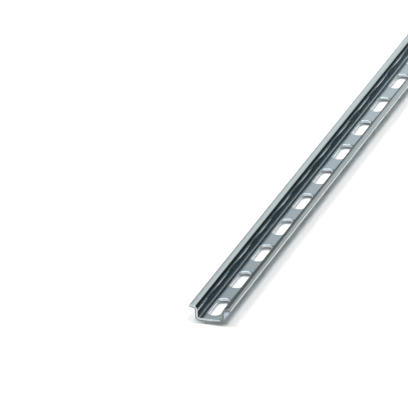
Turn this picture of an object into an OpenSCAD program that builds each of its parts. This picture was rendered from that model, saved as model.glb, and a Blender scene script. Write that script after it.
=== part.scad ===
// Mini top-hat mounting rail: one cold-rolled strip of zinc-plated steel, 15 mm wide and 5.5 mm deep,
// with a row of long slots down the middle of its web.
// X runs across the rail, Y along it, Z up from the web's underside to the tops of the flanges.

/* [Rail] */

// Length of the rail (mm)
rail_length = 1000; // [100:5:2000]
// Width over both flanges (mm)
rail_width = 15; // [13.5:0.1:20]
// Depth from the web's underside to the tops of the flanges (mm)
rail_depth = 5.5; // [5:0.1:8]
// Width of the hat over the outside of its two walls (mm)
hat_width = 10.5; // [9.5:0.1:11]
// Thickness of the steel strip (mm)
strip_thickness = 1; // [0.6:0.1:1.2]

/* [Bends] */

// Inside radius of the bends between the web and the walls (mm)
lower_bend_radius = 0.6; // [0.3:0.1:1.2]
// Inside radius of the bends between the walls and the flanges, on their underside (mm)
upper_bend_radius = 0.8; // [0.3:0.1:1.2]

/* [Slots] */

// Width of a slot (mm)
slot_width = 4.2; // [3:0.1:5]
// Length of a slot from end to end (mm)
slot_length = 15; // [6:0.1:18]
// Distance from the middle of one slot to the middle of the next (mm)
slot_pitch = 25; // [20:0.5:40]
// Distance from the rail's first end to the middle of its first slot (mm)
first_slot = 11.5; // [10:0.5:30]
// Least steel left between the last slot and the rail's other end (mm)
end_land = 2; // [1:0.5:10]

/* [Hidden] */

$fn = 96;
fit = 1;                                                  // clearance of a cutter beyond the strip
hat_half = hat_width / 2;
lower_outer = lower_bend_radius + strip_thickness;        // radius of the lower bend's outside
upper_outer = upper_bend_radius + strip_thickness;        // radius of the upper bend's convex side
web_half = hat_half - lower_outer;                        // half of the web's flat
flange_start = hat_half + upper_bend_radius;              // where a flange's flat begins
wall_top = rail_depth - upper_outer;                      // where a wall's flat ends
slot_count = floor((rail_length - first_slot - slot_length / 2 - end_land) / slot_pitch) + 1;

// A quarter of a ring: the strip going round a bend
module bend(inner) {
    intersection() {
        difference() {
            circle(r = inner + strip_thickness);
            circle(r = inner);
        }
        square(inner + strip_thickness);
    }
}

// Lower bend, wall, upper bend and flange on the side of +X
module section_side() {
    translate([web_half, lower_outer]) rotate(-90) bend(lower_bend_radius);
    translate([hat_half - strip_thickness, lower_outer])
        square([strip_thickness, wall_top - lower_outer]);
    translate([flange_start, wall_top]) rotate(90) bend(upper_bend_radius);
    translate([flange_start, rail_depth - strip_thickness])
        square([rail_width / 2 - flange_start, strip_thickness]);
}

// The hat section, drawn across the rail
module section() {
    union() {
        translate([-web_half, 0]) square([2 * web_half, strip_thickness]);
        section_side();
        mirror([1, 0]) section_side();
    }
}

// Outline of one slot, lying along Y
module slot() {
    straight = slot_length - slot_width;
    union() {
        translate([-slot_width / 2, -straight / 2]) square([slot_width, straight]);
        translate([0, -straight / 2]) circle(d = slot_width);
        translate([0, straight / 2]) circle(d = slot_width);
    }
}

// The whole rail: the section along its length, less the row of slots
module rail() {
    color([0.66, 0.69, 0.71])
    difference() {
        translate([0, rail_length / 2, 0]) rotate([90, 0, 0])
            linear_extrude(height = rail_length) section();
        for (i = [0:slot_count - 1])
            translate([0, -rail_length / 2 + first_slot + i * slot_pitch, -fit])
                linear_extrude(height = strip_thickness + 2 * fit) slot();
    }
}

rail();
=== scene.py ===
"""Looks of a mini top-hat mounting rail in bright zinc, lying web down on a white studio floor.

Lengths are in metres. X runs across the rail, Y along it and Z up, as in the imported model.
"""

import math

import bmesh
import bpy
from mathutils import Matrix, Vector


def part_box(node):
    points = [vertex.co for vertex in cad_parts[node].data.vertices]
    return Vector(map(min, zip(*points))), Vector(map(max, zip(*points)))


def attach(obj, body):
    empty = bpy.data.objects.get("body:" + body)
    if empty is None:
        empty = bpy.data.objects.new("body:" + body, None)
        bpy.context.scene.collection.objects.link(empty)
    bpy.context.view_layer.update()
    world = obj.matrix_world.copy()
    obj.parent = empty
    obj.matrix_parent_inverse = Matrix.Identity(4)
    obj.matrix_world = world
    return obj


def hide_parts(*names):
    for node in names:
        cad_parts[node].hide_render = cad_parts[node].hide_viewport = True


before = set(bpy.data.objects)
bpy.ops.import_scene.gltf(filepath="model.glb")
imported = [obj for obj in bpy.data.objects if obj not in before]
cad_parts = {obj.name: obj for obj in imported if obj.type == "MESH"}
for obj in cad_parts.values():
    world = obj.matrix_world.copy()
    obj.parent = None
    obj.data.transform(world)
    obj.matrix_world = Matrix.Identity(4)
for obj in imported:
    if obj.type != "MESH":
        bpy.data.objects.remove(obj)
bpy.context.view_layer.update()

MM = 0.001

# ---------------------------------------------------------------- sizes of the rail
strip = 1.0 * MM                       # thickness of the steel strip
hat_half = 5.25 * MM                   # half the width over the walls
lower_inside = 0.6 * MM                # bend between web and wall, on the channel's side
upper_inside = 0.8 * MM                # bend between wall and flange, on its underside
crown_radius = 9.0 * MM                # slow curve at a flange's root, on its upper face
crown_turn = math.radians(9)           # how far that curve turns
slot_half = 2.1 * MM                   # half a slot's width
slot_length = 15.0 * MM
slot_pitch = 25.0 * MM
first_slot = 11.5 * MM                 # rail's first end to its first slot's middle
slot_count = 40

rail_low, rail_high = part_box("rail")
rail_half = rail_high.x                # half the width over the flanges
rail_depth = rail_high.z
start, end = rail_low.y, rail_high.y   # the rail's two ends along Y

web_half = hat_half - strip - lower_inside         # half of the web's flat
bend_middle = hat_half + upper_inside              # axis of the bend between wall and flange
crown_shift = crown_radius - strip - upper_inside  # from that axis to the slow curve's
flange_root = bend_middle + crown_shift * math.sin(crown_turn)
wall_top = rail_depth - crown_radius + crown_shift * math.cos(crown_turn)
bend_steps = 14                                    # facets round a bend
crown_steps = 5                                    # facets round a flange root's slow curve
nose_steps = 22                                    # facets round a slot's end
rim_steps = 6                                      # facets across a slot's soft rim
edge_steps = 3                                     # facets across a rounded edge

rollover = 0.5 * MM                    # width of the soft edge that the punch drew down
rollover_drop = 0.46                   # its depth, as a share of its width
edge_break = 0.24 * MM                 # rounding of all other cut edges
sharp_turn = math.radians(60)          # an edge that turns more than this was cut
crease_turn = math.radians(50)         # shading breaks at an edge that turns more than this
touching = 0.001 * MM                  # points nearer than this are in one place

floor_gap = 0.9 * MM                   # a long rail is never quite straight, and lies on few points
floor_half = 30.0                      # half the floor's width, far past the camera


# ---------------------------------------------------------------- the strip, punched and rolled
def verts_of(geometry):
    return [g for g in geometry if isinstance(g, bmesh.types.BMVert)]


def edges_of(geometry):
    return [g for g in geometry if isinstance(g, bmesh.types.BMEdge)]


def put_in_order(bm):
    """Lays the mesh out afresh by place, as Blender's operators leave it in a varying order."""
    depth = bm.verts.layers.float["depth"]
    points = sorted(bm.verts, key=lambda v: v.co[:])
    number = {v: i for i, v in enumerate(points)}
    rings = [[number[v] for v in face.verts] for face in bm.faces]
    rings = [ring[ring.index(min(ring)):] + ring[:ring.index(min(ring))] for ring in rings]
    places = [(v.co[:], v[depth]) for v in points]
    bm.clear()
    depth = bm.verts.layers.float.new("depth")
    laid = []
    for place, below in places:
        laid.append(bm.verts.new(place))
        laid[-1][depth] = below
    for ring in sorted(rings):
        bm.faces.new([laid[i] for i in ring])
    bm.normal_update()


def slot_outline(bm, middle):
    """Closed loop of edges round one slot on the web's upper face."""
    before = set(bm.edges)
    straight = slot_length / 2 - slot_half
    first = bm.verts.new((slot_half, middle + straight, strip))
    nose = bmesh.ops.spin(bm, geom=[first], cent=(0, middle + straight, strip), axis=(0, 0, 1),
                          angle=math.pi, steps=nose_steps)
    corner = bmesh.ops.extrude_vert_indiv(bm, verts=verts_of(nose["geom_last"]))["verts"]
    bmesh.ops.translate(bm, verts=corner, vec=(0, -2 * straight, 0))
    nose = bmesh.ops.spin(bm, geom=corner, cent=(0, middle - straight, strip), axis=(0, 0, 1),
                          angle=math.pi, steps=nose_steps)
    bm.edges.new((verts_of(nose["geom_last"])[0], first))
    return [e for e in bm.edges if e not in before]


def web_cell(bm, low, high, middle):
    """A stretch of the web's flat between two stations, with its slot punched out."""
    corners = [bm.verts.new((x, y, strip))
               for x, y in ((-web_half, low), (web_half, low), (web_half, high), (-web_half, high))]
    outline = [bm.edges.new((corners[i], corners[(i + 1) % 4])) for i in range(4)]
    bmesh.ops.triangle_fill(bm, use_beauty=True, edges=outline + slot_outline(bm, middle))


def web(bm):
    """The web's upper face: one cell for each slot, joined end to end."""
    middles = [start + first_slot + i * slot_pitch for i in range(slot_count)]
    stations = [start] + [m + slot_pitch / 2 for m in middles[:-1]] + [end]
    for low, high, middle in zip(stations, stations[1:], middles):
        web_cell(bm, low, high, middle)
    bmesh.ops.remove_doubles(bm, verts=bm.verts[:], dist=touching)


def run_out(bm, edges, step):
    """Draws a long edge of the strip out by a flat."""
    made = bmesh.ops.extrude_edge_only(bm, edges=edges)["geom"]
    bmesh.ops.translate(bm, verts=verts_of(made), vec=step)
    return edges_of(made)


def bend(bm, edges, x, z, angle, steps):
    """Rolls a long edge of the strip round an axis along Y."""
    made = bmesh.ops.spin(bm, geom=edges, cent=(x, 0, z), axis=(0, 1, 0), angle=angle,
                          steps=steps, use_merge=False)
    return edges_of(made["geom_last"])


def side(bm, s):
    """Lower bend, wall, upper bend and flange on the side of sign s."""
    edge = [e for e in bm.edges
            if all(abs(v.co.x - s * web_half) < touching for v in e.verts) and e.is_boundary]
    edge = bend(bm, edge, s * web_half, strip + lower_inside, -s * math.pi / 2, bend_steps)
    edge = run_out(bm, edge, (0, 0, wall_top - strip - lower_inside))
    edge = bend(bm, edge, s * bend_middle, wall_top, s * (math.pi / 2 - crown_turn), bend_steps)
    edge = bend(bm, edge, s * flange_root, rail_depth - crown_radius, s * crown_turn, crown_steps)
    run_out(bm, edge, (s * (rail_half - flange_root), 0, 0))


def thicken(bm):
    """Gives the strip its thickness, and notes the depth below its upper face on each vertex."""
    depth = bm.verts.layers.float["depth"]
    bmesh.ops.recalc_face_normals(bm, faces=bm.faces[:])
    if sum(f.normal.z * f.calc_area() for f in bm.faces) < 0:
        bmesh.ops.reverse_faces(bm, faces=bm.faces[:])
    upper = set(bm.verts)
    bmesh.ops.solidify(bm, geom=bm.faces[:], thickness=strip)
    for v in bm.verts:
        v[depth] = 0.0 if v in upper else 1.0
    bmesh.ops.recalc_face_normals(bm, faces=bm.faces[:])


def ease(bm, edges, width, steps):
    """Rounds edges over a width on either side."""
    bmesh.ops.bevel(bm, geom=edges, offset=width, offset_type="OFFSET", segments=steps,
                    profile=0.5, affect="EDGES", material=-1, clamp_overlap=True)


def at_end(edge):
    """Whether an edge lies on one of the rail's two end faces."""
    return any(all(abs(v.co.y - face) < touching for v in edge.verts) for face in (start, end))


def at_slot(edge):
    """Whether an edge lies on the wall of a slot."""
    return all(abs(v.co.x) < slot_half + touching for v in edge.verts) and not at_end(edge)


def soften(bm):
    """Draws down the rims of the slots and rounds the strip's other edges."""
    sharp = [e for e in bm.edges if e.is_manifold and e.calc_face_angle() > sharp_turn]
    rims = [e for e in sharp if at_slot(e) and all(v.co.z > strip / 2 for v in e.verts)]
    cut = [e for e in sharp if not at_slot(e)]
    ease(bm, rims, rollover, rim_steps)
    drawn = [v for v in bm.verts
             if strip - rollover - touching < v.co.z < strip - touching
             and abs(v.co.x) < slot_half + rollover + touching]
    bmesh.ops.scale(bm, verts=drawn, vec=(1, 1, rollover_drop),
                    space=Matrix.Translation((0, 0, -strip)))
    ease(bm, cut, edge_break, edge_steps)


def finish_of(face):
    """Number of a face's finish: 0 rolled and plated, 1 punched or slit, 2 sheared ends."""
    middle = face.calc_center_median()
    if abs(face.normal.y) > 0.6 and min(middle.y - start, end - middle.y) < edge_break:
        return 2
    slot_wall = abs(face.normal.z) < 0.2 and all(
        abs(v.co.x) < slot_half + touching for v in face.verts)
    slit_edge = abs(face.normal.x) > 0.95 and abs(middle.x) > rail_half - edge_break / 4
    return 1 if slot_wall or slit_edge else 0


def rail_mesh():
    """The whole rail as one closed strip."""
    bm = bmesh.new()
    bm.verts.layers.float.new("depth")
    web(bm)
    side(bm, 1)
    side(bm, -1)
    bmesh.ops.remove_doubles(bm, verts=bm.verts[:], dist=touching)
    put_in_order(bm)
    thicken(bm)
    put_in_order(bm)
    soften(bm)
    put_in_order(bm)
    for face in bm.faces:
        face.smooth = True
        face.material_index = finish_of(face)
    for e in bm.edges:
        e.smooth = not (e.is_manifold and e.calc_face_angle() > crease_turn)
    mesh = bpy.data.meshes.new("rail_zinc")
    bm.to_mesh(mesh)
    bm.free()
    return mesh


# ---------------------------------------------------------------- finishes
class Signal:
    """A value or colour on its way to the shader, on which sums can be written."""

    def __init__(self, finish, socket):
        self.finish, self.socket = finish, socket

    def sum_of(self, operation, first, second):
        return self.finish.node("ShaderNodeMath", {"operation": operation}, [first, second])

    def __add__(self, other):
        return self.sum_of("ADD", self, other)

    __radd__ = __add__

    def __sub__(self, other):
        return self.sum_of("SUBTRACT", self, other)

    def __rsub__(self, other):
        return self.sum_of("SUBTRACT", other, self)

    def __mul__(self, other):
        return self.sum_of("MULTIPLY", self, other)

    __rmul__ = __mul__


class Finish:
    """A material or world under construction."""

    def __init__(self, owner):
        owner.use_nodes = True
        self.owner, self.tree = owner, owner.node_tree
        self.tree.nodes.clear()

    def node(self, kind, settings=None, inputs=None, out=0):
        """Adds a node: its settings first, then the values or links of its sockets."""
        made = self.tree.nodes.new(kind)
        for name, value in (settings or {}).items():
            setattr(made, name, value)
        pairs = inputs.items() if isinstance(inputs, dict) else enumerate(inputs or [])
        for key, value in pairs:
            if isinstance(value, Signal):
                self.tree.links.new(value.socket, made.inputs[key])
            elif value is not None:
                made.inputs[key].default_value = value
        return Signal(self, made.outputs[out]) if made.outputs else made

    def fade(self, value, low, high, first=0.0, last=1.0):
        """Soft step from one level to another, as a value goes from low to high."""
        return self.node("ShaderNodeMapRange", {"interpolation_type": "SMOOTHSTEP"},
                         {"Value": value, "From Min": low, "From Max": high,
                          "To Min": first, "To Max": last})

    def grain(self, place, stretch, scale, detail):
        """Cloudy pattern; a small share in stretch draws it out along that axis."""
        drawn = self.node("ShaderNodeMapping", {}, {"Vector": place, "Scale": stretch})
        return self.node("ShaderNodeTexNoise", {},
                         {"Vector": drawn, "Scale": scale, "Detail": detail}, out="Fac")

    def relief(self, height, strength):
        """Fine unevenness of the surface, a few hundredths of a millimetre high."""
        return self.node("ShaderNodeBump", {},
                         {"Strength": strength, "Distance": 0.03 * MM, "Height": height})

    def blend(self, share, first, second):
        """Mix of two colours."""
        return self.node("ShaderNodeMix", {"data_type": "RGBA"},
                         {"Factor": share, 6: first, 7: second}, out=2)

    def part_of(self, place, axis):
        """One coordinate of a place or direction."""
        return self.node("ShaderNodeSeparateXYZ", {}, [place], out=axis)

    def metal(self, tint, rough, bump):
        """Closes a metal's finish."""
        shader = self.node("ShaderNodeBsdfPrincipled", {}, {
            "Base Color": tint, "Metallic": 1.0, "Roughness": rough, "Normal": bump})
        self.node("ShaderNodeOutputMaterial", {}, {"Surface": shader})
        return self.owner


def zinc():
    """Bright blue passivated zinc on rolled strip, with painted shade: darker and bluer down in the
    channel than on the flange tops.
    """
    # painted shade: the strip is tinted darker and bluer in the channel than on the flange tops
    channel_shade_tint = (0.48, 0.59, 0.65, 1)
    flange_lit_tint = (0.54, 0.62, 0.63, 1)
    f = Finish(bpy.data.materials.new("zinc_bright"))
    place = f.node("ShaderNodeTexCoord", out="Object")
    fine = f.grain(place, (1, 1, 1), 2600, 3)
    rolled = f.grain(place, (1, 0.02, 1), 1400, 2)
    cloud = f.grain(place, (1, 0.4, 1), 90, 2)
    bump = f.relief(fine * 0.4 + rolled, 0.12)
    above = f.part_of(place, "Z")
    # painted shade and painted reflection colour by height: darker and bluer down in the channel,
    # lighter on the flange tops
    flange_light_share = f.fade(above, rail_depth - strip * 1.5, rail_depth - strip * 0.5, 0.15, 0.85)
    tint = f.blend(flange_light_share + (cloud - 0.5) * 0.6, channel_shade_tint, flange_lit_tint)
    matt = f.fade(above, strip * 1.2, strip * 0.9, 0.07, 0.18)    # the web is duller than the rest
    return f.metal(tint, matt + f.fade(fine, 0.2, 0.8, 0.0, 0.05), bump)


def punched_zinc():
    """Walls of the slots and slit edges: pale where the punch slid, dark where the steel tore. The
    slot walls carry a painted highlight, near white against the grey slit edges, and their dark
    torn foot is partly painted shade where the wall meets the floor.
    """
    # painted highlight: the slot walls are tinted near white, the slit edges of the same cut zinc
    # stay grey
    slot_wall_highlight_tint = (0.92, 0.94, 0.95, 1)
    slit_edge_tint = (0.68, 0.71, 0.72, 1)
    torn_steel_and_shade = (0.20, 0.21, 0.22, 1)
    f = Finish(bpy.data.materials.new("zinc_punched"))
    place = f.node("ShaderNodeTexCoord", out="Object")
    torn = f.grain(place, (1, 1, 0.15), 3000, 3)
    above = f.part_of(place, "Z")
    # the dark foot of each slot wall is partly the steel's torn zone and partly painted shade where
    # the wall meets the floor
    burnished_and_unshaded = f.fade(above + torn * (strip * 0.2), strip * 0.15, strip * 0.35)
    # painted highlight by height: near white low down on the slot walls, grey up at the slit edges
    painted_highlight_tint = f.blend(f.fade(above, strip, strip * 2), slot_wall_highlight_tint, slit_edge_tint)
    tint = f.blend(burnished_and_unshaded, torn_steel_and_shade, painted_highlight_tint)
    return f.metal(tint, f.fade(torn, 0.2, 0.8, 0.40, 0.52), f.relief(torn, 0.3))


def sheared_steel():
    """Ends of the rail: bare steel, bright where the blade slid and dull where it broke."""
    slid = (0.57, 0.62, 0.62, 1)
    broke = (0.20, 0.22, 0.22, 1)
    f = Finish(bpy.data.materials.new("steel_sheared"))
    place = f.node("ShaderNodeTexCoord", out="Object")
    depth = f.node("ShaderNodeAttribute", {"attribute_name": "depth"}, out="Fac")
    torn = f.grain(place, (1, 1, 1), 2500, 3)
    darker_to_plus_x = f.fade(f.part_of(place, "X"), 0, rail_half, -0.05, 0.6)    # darker towards +X, at the right flange's end
    broken = f.fade(depth + torn * 0.3 + darker_to_plus_x, 0.45, 0.80)
    return f.metal(f.blend(broken, slid, broke), broken * 0.15 + 0.3, f.relief(torn, 0.3))


def studio_floor():
    """White paper, a little brighter to the camera and in the metal than as a source of light."""
    lit_paper = (0.9, 0.9, 0.9, 1)
    seen_paper = (1.09, 1.08, 1.065, 1)
    f = Finish(bpy.data.materials.new("studio_floor"))
    looked_at = (f.node("ShaderNodeLightPath", out="Is Camera Ray")
                 + f.node("ShaderNodeLightPath", out="Is Glossy Ray"))
    paper = f.node("ShaderNodeBsdfDiffuse", {},
                   {"Color": f.blend(looked_at, lit_paper, seen_paper)})
    glow = f.node("ShaderNodeEmission", {}, {"Color": (1, 1, 1, 1), "Strength": 1.0})
    mixed = f.node("ShaderNodeMixShader", {}, [looked_at * 0.05, paper, glow])
    f.node("ShaderNodeOutputMaterial", {}, {"Surface": mixed})
    return f.owner


def studio_room():
    """Dim room, dark beyond the rail's far end; white where the camera looks past the floor."""
    f = Finish(bpy.data.worlds.new("studio"))
    way = f.node("ShaderNodeTexCoord", out="Generated")
    far_wall = f.fade(f.part_of(way, "X"), -0.30, 0.10, 0.16, 0.022)
    level = far_wall + f.fade(f.part_of(way, "Y"), 0.72, 0.40) * (0.18 - far_wall)
    room = f.node("ShaderNodeBackground", {}, {"Color": (1, 1, 1, 1), "Strength": level})
    white = f.node("ShaderNodeBackground", {}, {"Color": (1, 1, 1, 1), "Strength": 1.0})
    seen = f.node("ShaderNodeLightPath", out="Is Camera Ray")
    mixed = f.node("ShaderNodeMixShader", {}, [seen, room, white])
    f.node("ShaderNodeOutputWorld", {}, {"Surface": mixed})
    return f.owner


def softbox(name, place, aim, wide, high, brightness):
    """Rectangular lamp, placed and aimed from the rail's near end.

    A brightness of 1 is that of white paper in full light.
    """
    near_end = Vector((0, start, 0))
    light = bpy.data.lights.new(name, "AREA")
    light.shape, light.size, light.size_y = "RECTANGLE", wide, high
    light.energy = brightness * math.pi * wide * high
    lamp = bpy.data.objects.new(name, light)
    lamp.location = near_end + Vector(place)
    lamp.rotation_euler = (Vector(aim) - Vector(place)).to_track_quat("-Z", "Y").to_euler()
    bpy.context.scene.collection.objects.link(lamp)


# ---------------------------------------------------------------- the rail
rail = bpy.data.objects.new("rail_zinc", rail_mesh())
for finish in (zinc(), punched_zinc(), sheared_steel()):
    rail.data.materials.append(finish)
bpy.context.scene.collection.objects.link(rail)
weigh = rail.modifiers.new("weighted normals", "WEIGHTED_NORMAL")
weigh.keep_sharp = True
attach(rail, "root")
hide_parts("rail")

# ---------------------------------------------------------------- studio
bm = bmesh.new()
bmesh.ops.create_grid(bm, x_segments=1, y_segments=1, size=floor_half)
bmesh.ops.translate(bm, verts=bm.verts[:], vec=(0, 0, -floor_gap))
floor_mesh = bpy.data.meshes.new("floor")
bm.to_mesh(floor_mesh)
bm.free()
floor = bpy.data.objects.new("floor", floor_mesh)
floor.data.materials.append(studio_floor())
bpy.context.scene.collection.objects.link(floor)
bpy.context.scene.world = studio_room()

softbox("key", (0.38, 0.4, 1.3), (0.38, 0.4, 0), 0.42, 2.0, 5.4)
softbox("overhead", (-0.38, 0.3, 1.2), (-0.38, 0.3, 0), 0.5, 1.3, 3.0)
softbox("fill", (-1.2, 0.1, 0.8), (0, 0, 0), 0.8, 0.8, 4.8)

# Upright panel that the web and flanges mirror; its left side falls off in strips.
panel_back, panel_up, panel_high = 1.15, 0.75, 1.4
for x, wide, brightness in ((-0.38, 0.06, 0.36), (-0.32, 0.06, 0.50), (-0.26, 0.06, 0.64),
                            (-0.01, 0.44, 0.82)):
    softbox("panel", (x, panel_back, panel_up), (x, 0, panel_up), wide, panel_high, brightness)

# ---------------------------------------------------------------- camera
look_down = math.radians(22.5015)
turn_left = math.radians(17.7443)
camera_place = Vector((547.78, -1717.87, 790.78)) * MM     # from the rail's near end

lens = bpy.data.cameras.new("camera")
lens.sensor_width = 36
lens.lens = 506.36
lens.clip_start, lens.clip_end = 0.1, 100
camera = bpy.data.objects.new("camera", lens)
camera.location = Vector((0, start, 0)) + camera_place
camera.rotation_euler = (math.pi / 2 - look_down, 0, turn_left)
bpy.context.scene.collection.objects.link(camera)
bpy.context.scene.camera = camera
bpy.context.scene.view_settings.view_transform = "Standard"
